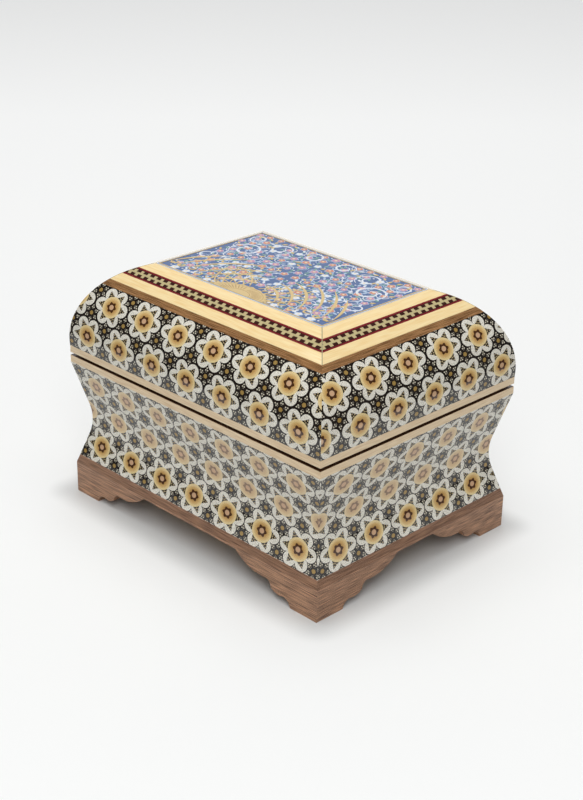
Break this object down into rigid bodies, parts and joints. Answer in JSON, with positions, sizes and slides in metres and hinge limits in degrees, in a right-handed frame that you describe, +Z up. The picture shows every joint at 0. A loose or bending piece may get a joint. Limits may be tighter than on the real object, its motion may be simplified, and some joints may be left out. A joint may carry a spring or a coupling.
{
  "type": "inlaid jewelry box",
  "caption": "Rectangular inlaid jewellery box with a waisted body, domed hinged lid, bordered painted top panel, velvet lining and walnut plinth on bracket feet.",
  "frame": {"origin": "on the floor, under the centre of the overall box with its hinges", "axes": "+X along the long side, the long front faces -Y, the hinges are at +Y, +Z up"},
  "size_m": [0.1804, 0.141, 0.129],
  "materials": {
    "walnut": "satin oiled walnut",
    "khatam": "mosaic veneer of wood, bone and brass under gloss lacquer",
    "pale_wood": "pale wood veneer under gloss lacquer",
    "zigzag_inlay": "stepped inlay between dark red lines under gloss lacquer",
    "painted_panel": "painted ornament under gloss lacquer",
    "core_wood": "bare softwood",
    "velvet": "velvet",
    "brass": "polished brass"
  },
  "bodies": {
    "box_body": {"body_hinge_screws": "brass", "body_khatam_back": "khatam", "body_khatam_front": "khatam", "body_khatam_left": "khatam", "body_khatam_right": "khatam", "body_lining": "velvet", "body_rim_back": "pale_wood", "body_rim_front": "pale_wood", "body_rim_left": "pale_wood", "body_rim_right": "pale_wood", "body_wall_back": "core_wood", "body_wall_front": "core_wood", "body_wall_left": "core_wood", "body_wall_right": "core_wood", "bottom_board": "core_wood", "floor_pad": "velvet", "hinge_left_body_leaf": "brass", "hinge_left_pin": "brass", "hinge_right_body_leaf": "brass", "hinge_right_pin": "brass", "plinth_back": "walnut", "plinth_front": "walnut", "plinth_left": "walnut", "plinth_right": "walnut"},
    "lid": {"hinge_left_lid_leaf": "brass", "hinge_right_lid_leaf": "brass", "inner_border_back": "pale_wood", "inner_border_front": "pale_wood", "inner_border_left": "pale_wood", "inner_border_right": "pale_wood", "lid_hinge_screws": "brass", "lid_khatam_back": "khatam", "lid_khatam_front": "khatam", "lid_khatam_left": "khatam", "lid_khatam_right": "khatam", "lid_lining": "velvet", "lid_rim_back": "pale_wood", "lid_rim_front": "pale_wood", "lid_rim_left": "pale_wood", "lid_rim_right": "pale_wood", "lid_wall_back": "core_wood", "lid_wall_front": "core_wood", "lid_wall_left": "core_wood", "lid_wall_right": "core_wood", "outer_border_back": "pale_wood", "outer_border_front": "pale_wood", "outer_border_left": "pale_wood", "outer_border_right": "pale_wood", "painted_panel": "painted_panel", "top_board": "core_wood", "walnut_border_back": "walnut", "walnut_border_front": "walnut", "walnut_border_left": "walnut", "walnut_border_right": "walnut", "zigzag_band_back": "zigzag_inlay", "zigzag_band_front": "zigzag_inlay", "zigzag_band_left": "zigzag_inlay", "zigzag_band_right": "zigzag_inlay"}
  },
  "joints": [
    {"name": "lid_hinge", "type": "hinge", "parent": "box_body", "child": "lid", "pos_m": [0, 0.06873, 0.0793], "axis": [-1, 0, 0], "range_deg": [0, 100]}
  ]
}
